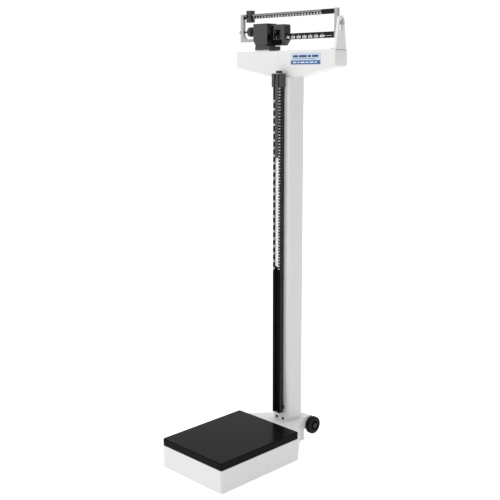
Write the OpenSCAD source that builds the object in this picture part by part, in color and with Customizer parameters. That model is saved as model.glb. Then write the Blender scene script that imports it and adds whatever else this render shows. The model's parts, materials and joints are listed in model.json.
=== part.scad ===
// Physician beam scale: platform base, column, head with poise beam, telescopic height rod and rear wheels.
// Frame: +Z up, +X to the right, +Y from platform to column; origin under the middle, on the floor.

/* [Base and platform] */
// Width of the base and platform, across X
base_w = 286; // [260:1:300]
// Length of the base box, along Y
base_l = 359; // [340:1:370]
// Height of the base box walls
base_h = 77; // [70:1:80]
// Thickness of the rubber mat's side
mat_h = 23; // [18:1:26]
// Wall thickness of the cast base
base_wall = 3; // [2.5:0.5:4]

/* [Column] */
// Width of the column tube
column_w = 72; // [66:1:76]
// Depth of the column tube
column_d = 76; // [70:1:78]
// Height of the column tube's top above the floor
column_top = 1268; // [1240:1:1300]

/* [Head] */
// Width of the head housing
head_w = 438; // [420:2:440]
// Depth of the head housing
head_d = 57; // [54:1:60]
// Height of the head's flat top above the floor
head_top = 1356; // [1350:1:1358]
// Height of the head's ends
head_end_h = 53; // [50:1:56]

/* [Weighing beam] */
// Distance from the beam's fulcrum to its load knife
beam_arm = 24; // [22:1:25]
// Pitch of the large poise's notches, 50 units each
lower_pitch = 24.7; // [24:0.1:24.8]
// Thickness of the cast beam frame, along Y
beam_t = 11; // [9:0.5:12]

/* [Height rod] */
// Width of the outer rod channel
rod_w = 33; // [31:1:35]
// Length of the folding headpiece arm
arm_l = 267; // [221:2:281]

/* [Wheels] */
// Radius of the transport wheels
wheel_r = 31; // [28:0.5:34]
// Width of each wheel
wheel_w = 18.5; // [15:0.5:20]

/* [Hidden] */
$fn = 48;
fit = 0.3;
half_w = base_w / 2;
depth = 560;
front_y = -depth / 2;
box_back = front_y + base_l;
shell_z = 2;
foot_x = 115;
foot_y0 = front_y + 30;
foot_y1 = box_back - 34;
neck_top = 88;
neck_back = 214;
neck_half = 44;
cy = 174;
column_front = cy - column_d / 2;
front_screw_x = 14.5;
front_screw_z = 96;
foot_bolt_x = 22;
foot_bolt_y = cy + 20;
mat_z = base_h + 1.2;
mat_top = mat_z + mat_h;
head_front = cy - head_d / 2;
head_back = cy + head_d / 2;
head_low = column_top + 3;
apex_half = 45;
head_end_z = head_top - head_end_h;
cover_t = 2;
fulcrum_x = -100;
fulcrum_z = 1400;
load_x = fulcrum_x - beam_arm;
transfer_x = 100;
transfer_z = 1320;
lever_pivot_y = front_y + 50;
short_pivot_y = 50;
load_arm = 30;
link_y = (lever_pivot_y + short_pivot_y) / 2;
post_x = 100;
knife_z = 34;
short_z = 51;
rod_front = 115;
rod_back = column_front - 2;
inner_y0 = rod_front + 3.9;
inner_y1 = rod_back - 3.3;
plate_back = inner_y0 - fit;
inner_half = 12;
gap_half = 8.3;
rod_low = 120;
rod_high = 1283;
inner_low = 635;
sleeve_low = 1240;
pivot_y = rod_front + 1;
pivot_z = 1277;
eye_r = 2.6;
pin_r = 1.2;
shoulder_z = pivot_z - 9;
wheel_y = depth / 2 - wheel_r;
wheel_z = 50.5;
wheel_in = 45.5;
wheel_out = wheel_in + wheel_w;
axle_r = 5;
hub_bore = axle_r + 0.06;
tyre_in = wheel_r - 9;
tyre_edge = 3;
left_x = -222;
upright_w = 13;
fillet_r = 18;
bar_x0 = -140;
right_x = 193;
beam_top = 1480;
lower_lo = 1392;
lower_hi = 1411;
upper_lo = 1465;
end_x = 228;
screw_z = 1422;
slab_x0 = -131;
slab_x1 = -65;
slab_top = 1372.5;
poise_x0 = -73;
poise_x1 = -8;
poise_half = 15;
poise_top = 1441;
notch_x = -43;
notch_w = 4.4;
notch_d = 2.6;
cover_x0 = -143.5;
cover_x1 = -79;
cover_half = 23;
cover_top = 1446;
cover_screw_x = -126;
trig_x = 210;
trig_t = 9;

WHITE = [0.92, 0.92, 0.92];
BLACK = [0.12, 0.12, 0.12];
SILVER = [0.74, 0.74, 0.74];
STEEL = [0.55, 0.56, 0.58];
IRON = [0.3, 0.31, 0.33];

// A box given by its lowest and highest corners.
module span(lo, hi) {
    translate(lo) cube(hi - lo);
}

// A cylinder along X from x0 to x1 through the given Y and Z.
module along_x(x0, x1, y, z, r) {
    translate([x0, y, z]) rotate([0, 90, 0]) cylinder(r = r, h = x1 - x0);
}

// A cylinder along Y from y0 to y1 through the given X and Z.
module along_y(x, y0, y1, z, r) {
    translate([x, y1, z]) rotate([90, 0, 0]) cylinder(r = r, h = y1 - y0);
}

// A cylinder along Z.
module along_z(x, y, z0, z1, r) {
    translate([x, y, z0]) cylinder(r = r, h = z1 - z0);
}

// A copy on each side of the plane X = 0.
module both_sides() {
    children();
    mirror([1, 0, 0]) children();
}

// A flat outline in X and Z, made solid from y0 to y1.
module xz_plate(y0, y1) {
    translate([0, y1, 0]) rotate([90, 0, 0]) linear_extrude(y1 - y0) children();
}

// A flat outline in Y and Z, made solid from x0 to x1.
module yz_plate(x0, x1) {
    translate([x0, 0, 0]) rotate([90, 0, 90]) linear_extrude(x1 - x0) children();
}

// A rectangle with round corners, from true arcs.
module round_rect(x0, y0, x1, y1, r) {
    translate([x0 + r, y0]) square([x1 - x0 - 2 * r, y1 - y0]);
    translate([x0, y0 + r]) square([x1 - x0, y1 - y0 - 2 * r]);
    for (x = [x0 + r, x1 - r], y = [y0 + r, y1 - r]) translate([x, y]) circle(r);
}

// Outline of the box that carries the platform, pulled in by inset.
module box_outline(inset) {
    w = half_w - inset;
    round_rect(-w, front_y + inset, w, box_back - inset, 8 - inset);
}

// Outline of the tapered neck behind the box, with its slanted walls pulled in by inset.
module neck_outline(inset) {
    wide = half_w - 4;
    narrow_y = neck_back - 21;
    slope = (wide - neck_half) / (narrow_y - box_back);
    w = wide - inset * norm([1, slope]);
    n = neck_half - inset;
    y = box_back + (w - n) / slope;
    polygon([[-w, box_back - base_wall + inset], [w, box_back - base_wall + inset], [n, y + inset],
        [n, neck_back - inset], [-n, neck_back - inset], [-n, y + inset]]);
}

module base_shell() color(WHITE) difference() {
    union() {
        translate([0, 0, shell_z]) linear_extrude(base_h - shell_z) difference() {
            box_outline(0);
            box_outline(base_wall);
        }
        translate([0, 0, shell_z]) linear_extrude(neck_top - shell_z) difference() {
            neck_outline(0);
            neck_outline(base_wall);
        }
        translate([0, 0, neck_top - 4]) linear_extrude(4) neck_outline(0);
    }
    span([-60, box_back - base_wall - 1, shell_z - 1], [60, box_back + 1, 70]);
    along_z(0, cy, neck_top - 20, neck_top + 1, 12);
    for (x = [-foot_bolt_x, foot_bolt_x]) along_z(x, foot_bolt_y, neck_top - 20, neck_top + 1, 2.6);
}

module base_pan() color(IRON) difference() {
    translate([0, 0, 8]) linear_extrude(1.5) box_outline(base_wall);
    for (x = [-foot_x, foot_x], y = [foot_y0, foot_y1]) along_z(x, y, 7, 11, 2.1);
}

module foot_pads() color(BLACK) for (x = [-foot_x, foot_x], y = [foot_y0, foot_y1]) difference() {
    along_z(x, y, 0, 8, 14);
    along_z(x, y, -1, 9, 2.1);
    along_z(x, y, -1, 3, 5);
}

module foot_screws() color(STEEL) for (x = [-foot_x, foot_x], y = [foot_y0, foot_y1]) {
    along_z(x, y, 1, 2.9, 4.4);
    along_z(x, y, 2.9, 10, 2);
    along_z(x, y, 9.5, 12.5, 4);
}

module bearing_block(y, top) {
    difference() {
        span([105, y - 9, top - 20], [half_w - base_wall, y + 9, top]);
        yz_plate(104, half_w) polygon([[y - 6, top + 1], [y + 6, top + 1], [y, top - 6]]);
    }
}

module lever_bearings() color(IRON) both_sides() {
    bearing_block(lever_pivot_y, knife_z - 0.3);
    bearing_block(short_pivot_y, short_z - 0.3);
}

module wheel_bracket() color(WHITE) difference() {
    union() {
        both_sides() yz_plate(37, 44) {
            translate([neck_back, 40]) square([wheel_y - neck_back, 43]);
            translate([neck_back, 40]) square([wheel_y + 12 - neck_back, 30]);
            translate([wheel_y, 71]) circle(12);
        }
        span([-44, neck_back, 78], [44, wheel_y, 83]);
        span([-44, neck_back, 40], [44, neck_back + 4, 83]);
    }
    along_x(-60, 60, wheel_y, wheel_z, axle_r);
}

module axle() color(STEEL) along_x(-wheel_out - 2.5, wheel_out + 2.5, wheel_y, wheel_z, axle_r);

module axle_clips() color(STEEL) both_sides() difference() {
    along_x(wheel_out + 0.3, wheel_out + 1.8, wheel_y, wheel_z, 8);
    along_x(wheel_out, wheel_out + 3, wheel_y, wheel_z, axle_r);
}

module tyre(x0) {
    crown = wheel_r - tyre_edge;
    translate([x0, wheel_y, wheel_z]) rotate([0, 90, 0]) rotate_extrude() {
        translate([tyre_in, 0]) square([crown - tyre_in, wheel_w]);
        translate([tyre_in, tyre_edge]) square([wheel_r - tyre_in, wheel_w - 2 * tyre_edge]);
        translate([crown, tyre_edge]) circle(tyre_edge);
        translate([crown, wheel_w - tyre_edge]) circle(tyre_edge);
    }
}

module hub(x0) {
    translate([x0, wheel_y, wheel_z]) rotate([0, 90, 0]) rotate_extrude() {
        translate([hub_bore, 0]) square([5, wheel_w]);
        translate([hub_bore, 5]) square([tyre_in - hub_bore, wheel_w - 10]);
        translate([tyre_in - 4, 1]) square([4, wheel_w - 2]);
    }
}

module left_tyre() color(BLACK) tyre(-wheel_in - wheel_w);

module left_hub() color(IRON) hub(-wheel_in - wheel_w);

module right_tyre() color(BLACK) tyre(wheel_in);

module right_hub() color(IRON) hub(wheel_in);

module platform_plate() color(STEEL) {
    translate([0, 0, mat_top - 13]) linear_extrude(9)
        round_rect(-half_w + 5, front_y + 5, half_w - 5, box_back - 7, 6);
}

module platform_post(x, y, low) {
    difference() {
        span([x - 6, y - 8, low], [x + 6, y + 8, mat_top - 13]);
        yz_plate(x - 7, x + 7) polygon([[y - 6, low - 1], [y + 6, low - 1], [y, low + 6]]);
    }
}

module platform_posts() color(IRON) both_sides() {
    platform_post(post_x, lever_pivot_y + load_arm, knife_z + 0.4);
    platform_post(94, short_pivot_y - load_arm, short_z + 0.4);
}

module platform_mat() color(BLACK) difference() {
    union() {
        translate([0, 0, mat_z]) linear_extrude(mat_h - 3)
            round_rect(-half_w + 1, front_y + 1, half_w - 1, box_back - 3, 6);
        translate([0, 0, mat_top - 4]) linear_extrude(2.5)
            round_rect(-half_w + 2, front_y + 2, half_w - 2, box_back - 4, 5);
        translate([0, 0, mat_top - 2]) linear_extrude(2)
            round_rect(-half_w + 3.5, front_y + 3.5, half_w - 3.5, box_back - 5.5, 4);
    }
    translate([0, 0, mat_z - 1]) linear_extrude(mat_top - 4 - mat_z + 1)
        round_rect(-half_w + 5, front_y + 5, half_w - 5, box_back - 7, 6);
}

// A straight lever arm of square section between two points in plan.
module lever_arm(a, b, z0, z1, w) {
    d = b - a;
    translate([a[0], a[1], z0]) rotate([0, 0, atan2(d[1], d[0])]) translate([0, -w / 2, 0])
        cube([norm(d), w, z1 - z0]);
}

module long_lever() color(IRON) difference() {
    union() {
        both_sides() lever_arm([90, lever_pivot_y - 8], [9, 96], 28, 40, 10);
        span([-16, 82, 28], [16, 106, 40]);
        span([-52, link_y - 4, 30], [52, link_y + 4, 38]);
        span([-5, 90, 28], [5, cy + 9, 40]);
    }
    for (y = [lever_pivot_y, lever_pivot_y + load_arm, cy]) along_x(-120, 120, y, knife_z, 3);
}

module long_lever_knives() color(STEEL) {
    both_sides() {
        along_x(78, 122, lever_pivot_y, knife_z, 3);
        along_x(70, 108, lever_pivot_y + load_arm, knife_z, 3);
    }
    along_x(-12, 12, cy, knife_z, 3);
}

module short_lever() color(IRON) difference() {
    union() {
        both_sides() lever_arm([98, short_pivot_y + 9], [0, link_y], 45, 57, 10);
        span([-6, link_y - 12, 45], [6, link_y + 12, 57]);
        span([-4, link_y + 5, 26], [4, link_y + 9, 46]);
        span([-4, link_y - 9, 26], [4, link_y - 5, 46]);
        span([-4, link_y - 9, 22], [4, link_y + 9, 26]);
    }
    for (y = [short_pivot_y, short_pivot_y - load_arm]) along_x(-120, 120, y, short_z, 3);
}

module short_lever_knives() color(STEEL) both_sides() {
    along_x(82, 122, short_pivot_y, short_z, 3);
    along_x(64, 102, short_pivot_y - load_arm, short_z, 3);
}

module steelyard_rod() color(STEEL) along_z(0, cy, 50, transfer_z - 18, 3);

module steelyard_hooks() color(STEEL) {
    difference() {
        union() {
            both_sides() span([7, cy - 6, 24], [10, cy + 6, 50]);
            span([-10, cy - 6, 46], [10, cy + 6, 50]);
        }
        along_x(-12, 12, cy, knife_z, 3.3);
    }
    difference() {
        union() {
            for (y = [cy - 11, cy + 8]) span([-6, y, transfer_z - 18], [6, y + 3, transfer_z + 7]);
            span([-6, cy - 11, transfer_z - 18], [6, cy + 11, transfer_z - 14]);
        }
        along_y(0, cy - 12, cy + 12, transfer_z, 3.3);
    }
}

module transfer_lever() color(IRON) difference() {
    span([load_x - 8, cy - 5, transfer_z - 7], [transfer_x + 9, cy + 5, transfer_z + 7]);
    for (x = [load_x, 0, transfer_x]) along_y(x, cy - 12, cy + 12, transfer_z, 3);
}

module transfer_knives() color(STEEL) {
    for (x = [load_x, 0]) along_y(x, cy - 11.5, cy + 11.5, transfer_z, 3);
    along_y(transfer_x, cy - 15, cy + 15, transfer_z, 3);
}

module transfer_bearing() color(IRON) for (y = [cy - 15, cy + 9]) difference() {
    xz_plate(y, y + 6) polygon([[transfer_x - 12, head_floor(transfer_x - 12)],
        [transfer_x + 12, head_floor(transfer_x + 12)], [transfer_x + 12, transfer_z - 0.5],
        [transfer_x - 12, transfer_z - 0.5]]);
    xz_plate(y - 1, y + 7) polygon([[transfer_x - 6, transfer_z + 1], [transfer_x + 6, transfer_z + 1],
        [transfer_x, transfer_z - 5.5]]);
}

module beam_link() color(STEEL) difference() {
    union() {
        for (y = [cy - 10, cy + 7]) span([load_x - 4, y, transfer_z - 7], [load_x + 4, y + 3, fulcrum_z + 7]);
        span([load_x - 4, cy - 10, 1356], [load_x + 4, cy + 10, 1362]);
    }
    for (z = [transfer_z, fulcrum_z]) along_y(load_x, cy - 12, cy + 12, z, 3.3);
}

module column_tube() color(WHITE) difference() {
    translate([0, 0, neck_top]) linear_extrude(column_top - neck_top) difference() {
        round_rect(-column_w / 2, column_front, column_w / 2, cy + column_d / 2, 9);
        round_rect(-column_w / 2 + 2.5, column_front + 2.5, column_w / 2 - 2.5, cy + column_d / 2 - 2.5, 6.5);
    }
    for (x = [-front_screw_x, front_screw_x])
        along_y(x, column_front - 1, column_front + 4, front_screw_z, 2.6);
}

module column_foot() color(STEEL) difference() {
    union() {
        span([-26, column_front + 2.5, neck_top], [26, cy + 30, neck_top + 3]);
        span([-26, column_front + 2.5, neck_top], [26, column_front + 6.5, neck_top + 22]);
    }
    along_z(0, cy, neck_top - 1, neck_top + 4, 12);
    for (x = [-front_screw_x, front_screw_x]) along_y(x, column_front, column_front + 8, front_screw_z, 2.6);
    for (x = [-foot_bolt_x, foot_bolt_x]) along_z(x, foot_bolt_y, neck_top - 1, neck_top + 4, 2.6);
}

module column_screws() color(BLACK) {
    for (x = [-front_screw_x, front_screw_x]) {
        along_y(x, column_front - 2.2, column_front, front_screw_z, 5.2);
        along_y(x, column_front, column_front + 10, front_screw_z, 2.5);
    }
    for (x = [-foot_bolt_x, foot_bolt_x]) {
        along_z(x, foot_bolt_y, neck_top + 3, neck_top + 6, 4.5);
        along_z(x, foot_bolt_y, neck_top - 8, neck_top + 3, 2.5);
    }
}

module column_cap() color(WHITE) difference() {
    translate([0, 0, column_top]) linear_extrude(3)
        round_rect(-column_w / 2, column_front, column_w / 2, cy + column_d / 2, 9);
    along_z(0, cy, column_top - 1, column_top + 4, 14);
}

// Height of the head's inner floor at a distance x from the column's middle.
function head_floor(x) = head_low + 3 + (head_end_z - head_low) * (x - apex_half)
    / (head_w / 2 - 6 - apex_half);

// Outline of the head from the front, with its walls pulled in by inset.
module head_outline(inset) {
    w = head_w / 2 - inset;
    r = 6 - inset;
    high = head_top - inset;
    low = head_end_z + inset;
    right = concat([[apex_half, head_low + inset], [w - r, low], [w, low + r]],
        [for (a = [0 : 15 : 90]) [w - r + r * cos(a), high - r + r * sin(a)]]);
    left = [for (i = [len(right) - 1 : -1 : 0]) [-right[i][0], right[i][1]]];
    polygon(concat(right, left));
}

module head_housing() color(WHITE) difference() {
    union() {
        xz_plate(head_front, head_back - cover_t) head_outline(0);
        span([slab_x0 + 3, cy - 25, head_top - 1], [slab_x1 - 3, cy + 25, head_top + 4]);
    }
    xz_plate(head_front + 3, head_back) head_outline(3);
    along_z(0, cy, head_low - 1, head_low + 9, 14);
    span([load_x - 5, cy - 12, head_top - 4], [load_x + 5, cy + 12, head_top + 5]);
}

module head_rear_cover() color(WHITE) difference() {
    xz_plate(head_back - cover_t, head_back) head_outline(0);
    for (x = [-190, 190]) along_y(x, head_back - 3, head_back + 1, 1340, 2.1);
    for (x = [-60, 60]) along_y(x, head_back - 3, head_back + 1, 1345, 2.1);
}

module head_cover_screws() color(STEEL) {
    for (p = [[-190, 1340], [190, 1340], [-60, 1345], [60, 1345]]) {
        along_y(p[0], head_back, head_back + 2, p[1], 4);
        along_y(p[0], head_back - cover_t, head_back, p[1], 2);
    }
}

module label_plate() color([0.2, 0.4, 0.7]) span([34, head_front - 0.8, 1311], [160, head_front, 1347]);

module trig_post() color(WHITE) difference() {
    union() {
        yz_plate(trig_x, trig_x + trig_t) {
            polygon([[cy - 25, head_top], [cy + 25, head_top], [cy + 12.5, 1445], [cy - 12.5, 1445]]);
            translate([cy, 1445]) circle(12.8);
        }
        span([trig_x - 16, cy - 20, head_top], [trig_x + 1, cy + 20, head_top + 4]);
    }
    span([trig_x - 1, cy - 7.5, 1413], [trig_x + trig_t + 1, cy + 7.5, 1447]);
    for (y = [cy - 12, cy + 12]) along_z(trig_x - 8, y, head_top - 1, head_top + 5, 2.1);
}

module trig_screws() color(STEEL) for (y = [cy - 12, cy + 12]) {
    along_z(trig_x - 8, y, head_top + 4, head_top + 6.5, 4);
    along_z(trig_x - 8, y, head_top, head_top + 4, 2);
}

module fulcrum_base() color(BLACK) difference() {
    span([slab_x0, cy - 27, head_top + 4], [slab_x1, cy + 27, slab_top]);
    span([load_x - 5, cy - 12, head_top], [load_x + 5, cy + 12, slab_top + 1]);
    for (y = [cy - 17, cy + 17]) along_z(cover_screw_x, y, slab_top - 8, slab_top + 1, 1.6);
}

module fulcrum_stand() color(STEEL) for (y = [cy - 17, cy + 12]) difference() {
    span([fulcrum_x - 10, y, slab_top], [fulcrum_x + 10, y + 5, fulcrum_z - 0.5]);
    xz_plate(y - 1, y + 6) polygon([[fulcrum_x - 6, fulcrum_z + 1], [fulcrum_x + 6, fulcrum_z + 1],
        [fulcrum_x, fulcrum_z - 5.5]]);
}

module fulcrum_cover_side() {
    polygon([[cover_x0, cover_top], [cover_x1, cover_top], [cover_x1, slab_top + 8],
        [cover_x1 - 6, slab_top], [cover_x0 + 12, slab_top], [cover_x0, slab_top + 20]]);
}

module fulcrum_cover() color(BLACK) {
    xz_plate(cy - cover_half, cy - cover_half + 2.5) fulcrum_cover_side();
    xz_plate(cy + cover_half - 2.5, cy + cover_half) fulcrum_cover_side();
    span([cover_x0, cy - cover_half, cover_top - 2.5], [cover_x1, cy + cover_half, cover_top]);
    for (y = [cy - 17, cy + 17]) difference() {
        span([cover_x0 + 12, y - 3.6, slab_top], [load_x + 4, y + 3.6, slab_top + 3]);
        along_z(cover_screw_x, y, slab_top - 1, slab_top + 4, 1.6);
    }
}

module fulcrum_cover_screws() color(STEEL) for (y = [cy - 17, cy + 17]) {
    along_z(cover_screw_x, y, slab_top + 3, slab_top + 5, 3);
    along_z(cover_screw_x, y, slab_top - 7, slab_top + 3, 1.5);
}

module upper_bar() color(BLACK)
    span([left_x + upright_w, cy - beam_t / 2 + 1, upper_lo], [right_x, cy + beam_t / 2 - 1, beam_top]);

module lower_bar() color(BLACK) difference() {
    span([bar_x0, cy - beam_t / 2 + 1, lower_lo], [right_x, cy + beam_t / 2 - 1, lower_hi]);
    for (x = [fulcrum_x, load_x]) along_y(x, cy - 9, cy + 9, fulcrum_z, 3);
    for (k = [0 : 8]) let (x = notch_x + k * lower_pitch)
        xz_plate(cy - 9, cy + 9) polygon([[x - notch_w / 2, lower_hi], [x, lower_hi - notch_d],
            [x + notch_w / 2, lower_hi], [x + notch_w / 2, lower_hi + 1], [x - notch_w / 2, lower_hi + 1]]);
}

module left_upright() color(SILVER) difference() {
    xz_plate(cy - beam_t / 2, cy + beam_t / 2) {
        translate([left_x, lower_lo - 3]) square([upright_w, beam_top - lower_lo + 3]);
        translate([left_x, lower_lo - 3]) square([bar_x0 - left_x, 9]);
        difference() {
            translate([left_x + upright_w - 1, lower_lo + 5]) square([fillet_r + 1, fillet_r + 1]);
            translate([left_x + upright_w + fillet_r, lower_lo + fillet_r + 6]) circle(fillet_r);
        }
    }
    along_x(left_x - 1, left_x + upright_w + 1, cy, screw_z, 3);
}

module right_upright() color(SILVER)
    span([right_x, cy - beam_t / 2, lower_lo - 1], [right_x + upright_w, cy + beam_t / 2, beam_top + 2]);

module beam_pointer() color(SILVER)
    span([right_x + upright_w, cy - 4, 1430], [end_x, cy + 4, 1442]);

module beam_knives() color(STEEL) {
    along_y(fulcrum_x, cy - 18, cy + 18, fulcrum_z, 3);
    along_y(load_x, cy - 11.5, cy + 11.5, fulcrum_z, 3);
}

module balance_screw() color(BLACK) along_x(-end_x, -150, cy, screw_z, 3);

module balance_nut() color(SILVER) difference() {
    along_x(-end_x + 0.5, left_x, cy, screw_z, 6);
    along_x(-end_x, left_x + 1, cy, screw_z, 3);
}

module balance_weight() color(BLACK) translate([-189, cy, screw_z]) rotate([0, 90, 0]) rotate_extrude()
    polygon([[3.06, 0], [9, 0], [16, 8], [16, 19], [13, 22], [3.06, 22]]);

module upper_poise() color(BLACK) difference() {
    span([-190, cy - 10, 1453], [-168, cy + 10, 1492]);
    span([-191, cy - beam_t / 2 + 0.7, upper_lo - fit], [-167, cy + beam_t / 2 - 0.7, beam_top + fit]);
    span([-186, cy - 11, upper_lo + 2], [-174, cy, beam_top - 2]);
}

module lower_poise() color(BLACK) difference() {
    xz_plate(cy - poise_half, cy + poise_half) polygon(concat(
        [for (a = [180 : 15 : 270]) [poise_x0 + 15 + 15 * cos(a), slab_top + 16.4 + 15 * sin(a)]],
        [[poise_x1 - 13, slab_top + 1.4], [poise_x1, slab_top + 17], [poise_x1, poise_top - 3],
        [poise_x1 - 3, poise_top], [poise_x0 + 3, poise_top], [poise_x0, poise_top - 3]]));
    span([poise_x0 - 1, cy - beam_t / 2 + 0.7, lower_lo - fit],
        [poise_x1 + 1, cy + beam_t / 2 - 0.7, lower_hi + fit]);
    span([poise_x0 + 18, cy - poise_half - 1, lower_lo + 2], [poise_x1 - 19, cy, lower_hi + 13]);
}

module lower_poise_latch() color(BLACK)
    span([-30, cy - poise_half - 3, slab_top + 4], [-20, cy - poise_half, lower_lo]);

module rod_channel() color(BLACK) difference() {
    span([-rod_w / 2, plate_back, rod_low], [rod_w / 2, rod_back, rod_high]);
    span([-inner_half - fit, plate_back - 1, rod_low + 4],
        [inner_half + fit, inner_y1 + fit, rod_high + 1]);
}

module rod_scale_plates() color(BLACK) both_sides()
    span([gap_half, rod_front, rod_low], [rod_w / 2, plate_back, rod_high]);

module rod_brackets() color(BLACK) for (z = [132, 700, 1215])
    span([-20, rod_back, z], [20, column_front, z + 14]);

module rod_sleeve() color(BLACK) both_sides() difference() {
    span([gap_half, rod_front - 3.5, sleeve_low], [20, column_front, rod_high]);
    span([gap_half - 1, rod_front, sleeve_low - 1], [rod_w / 2, column_front + 1, rod_high + 1]);
}

module inner_rod() color(WHITE) difference() {
    span([-inner_half, inner_y0, inner_low], [inner_half, inner_y1, rod_high + 0.5]);
    xz_plate(inner_y0 - 1, inner_y1 + 1) polygon([[-13, inner_low - 1], [13, inner_low - 1], [13, inner_low],
        [-13, inner_low + 12]]);
}

module rod_head() color(BLACK) {
    span([-10, inner_y0 + 3.1, rod_high + 0.5], [10, inner_y1, rod_high + 9]);
    both_sides() difference() {
        span([4.8, pivot_y - 3, pivot_z - 6], [7.8, inner_y0, rod_high]);
        along_x(4, 9, pivot_y, pivot_z, pin_r);
    }
}

module headpiece_arm() color(BLACK) difference() {
    union() {
        span([-7.5, rod_front - 0.4, pivot_z - arm_l], [7.5, rod_front + 2.6, shoulder_z]);
        span([-4.5, rod_front - 0.4, shoulder_z - 1], [4.5, rod_front + 2.6, pivot_z]);
        along_x(-4.5, 4.5, pivot_y, pivot_z, eye_r);
    }
    along_x(-8, 8, pivot_y, pivot_z, pin_r + 0.05);
}

module headpiece_pin() color(STEEL) along_x(-7.8, 7.8, pivot_y, pivot_z, pin_r);

base_shell();
base_pan();
foot_pads();
foot_screws();
lever_bearings();
wheel_bracket();
axle();
axle_clips();
left_tyre();
left_hub();
right_tyre();
right_hub();
platform_plate();
platform_posts();
platform_mat();
long_lever();
long_lever_knives();
short_lever();
short_lever_knives();
steelyard_rod();
steelyard_hooks();
transfer_lever();
transfer_knives();
transfer_bearing();
beam_link();
column_tube();
column_foot();
column_screws();
column_cap();
head_housing();
head_rear_cover();
head_cover_screws();
label_plate();
trig_post();
trig_screws();
fulcrum_base();
fulcrum_stand();
fulcrum_cover();
fulcrum_cover_screws();
upper_bar();
lower_bar();
left_upright();
right_upright();
beam_pointer();
beam_knives();
balance_screw();
balance_nut();
balance_weight();
upper_poise();
lower_poise();
lower_poise_latch();
rod_channel();
rod_scale_plates();
rod_brackets();
rod_sleeve();
inner_rod();
rod_head();
headpiece_arm();
headpiece_pin();
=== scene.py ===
"""Looks of the physician beam scale, built around its CAD model. Metres, in the CAD's own frame."""

import json
import math

import bmesh
import bpy
from mathutils import Matrix, Vector

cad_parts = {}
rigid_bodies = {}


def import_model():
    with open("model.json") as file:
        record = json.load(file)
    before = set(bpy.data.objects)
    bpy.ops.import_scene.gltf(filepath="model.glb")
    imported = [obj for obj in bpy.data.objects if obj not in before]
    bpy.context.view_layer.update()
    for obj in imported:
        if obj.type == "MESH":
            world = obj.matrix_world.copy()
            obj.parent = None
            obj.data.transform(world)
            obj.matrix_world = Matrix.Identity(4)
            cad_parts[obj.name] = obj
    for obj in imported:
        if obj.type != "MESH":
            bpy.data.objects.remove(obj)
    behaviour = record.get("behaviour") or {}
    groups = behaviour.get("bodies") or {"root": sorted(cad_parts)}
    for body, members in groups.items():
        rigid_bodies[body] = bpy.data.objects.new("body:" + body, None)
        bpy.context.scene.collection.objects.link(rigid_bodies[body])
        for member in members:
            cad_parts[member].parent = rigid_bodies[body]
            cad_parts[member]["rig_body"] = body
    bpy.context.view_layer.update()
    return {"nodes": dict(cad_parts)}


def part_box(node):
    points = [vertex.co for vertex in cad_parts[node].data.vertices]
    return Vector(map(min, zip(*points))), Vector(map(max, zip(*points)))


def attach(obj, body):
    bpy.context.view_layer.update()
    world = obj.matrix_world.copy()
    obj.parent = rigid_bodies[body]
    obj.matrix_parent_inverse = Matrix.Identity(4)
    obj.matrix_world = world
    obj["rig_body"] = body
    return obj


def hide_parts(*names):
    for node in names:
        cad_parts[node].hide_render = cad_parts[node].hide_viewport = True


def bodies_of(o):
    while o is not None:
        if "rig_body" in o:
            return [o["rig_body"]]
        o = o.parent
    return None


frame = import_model()
NODES = frame["nodes"]

MM = 0.001
X = Vector((1, 0, 0))
Y = Vector((0, 1, 0))
Z = Vector((0, 0, 1))
INK = 0.08 * MM                    # thickness of printed marks
OUT = -Y                           # the way printed faces look
SMOOTH_BELOW = math.radians(40)    # edges that bend less than this shade smoothly
ROUND_ABOVE = math.radians(28)     # edges that bend more than this are rounded
WELD = 2e-6                        # points nearer than this are one point, m

# ---------------------------------------------------------------- camera

CAMERA_AT = Vector((1.9918, -1.9830, 1.2750))
AZIMUTH = math.radians(45.27)
PITCH = math.radians(11.25)
ROLL = -0.0033                     # radians
LENS = 62.92                       # mm
SENSOR = 36                        # mm


def add_camera():
    """The camera that shows the scale from its right front, a little from above."""
    back = Vector((math.sin(AZIMUTH) * math.cos(PITCH),
                   -math.cos(AZIMUTH) * math.cos(PITCH),
                   math.sin(PITCH)))
    level = Vector((math.cos(AZIMUTH), math.sin(AZIMUTH), 0))
    upright = back.cross(level)
    right = math.cos(ROLL) * level + math.sin(ROLL) * upright
    up = math.cos(ROLL) * upright - math.sin(ROLL) * level
    turn = Matrix((right, up, back)).transposed().to_4x4()
    data = bpy.data.cameras.new("camera")
    data.lens = LENS
    data.sensor_width = SENSOR
    camera = bpy.data.objects.new("camera", data)
    camera.matrix_world = Matrix.Translation(CAMERA_AT) @ turn
    bpy.context.scene.collection.objects.link(camera)
    bpy.context.scene.camera = camera


# ---------------------------------------------------------------- materials

def node_of(material, kind, **inputs):
    """A new node in the material, with some of its inputs set."""
    node = material.node_tree.nodes.new(kind)
    for name, value in inputs.items():
        node.inputs[name.replace("_", " ")].default_value = value
    return node


def join(material, out, into):
    """Links one node's output to another's input."""
    material.node_tree.links.new(out, into)


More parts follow.
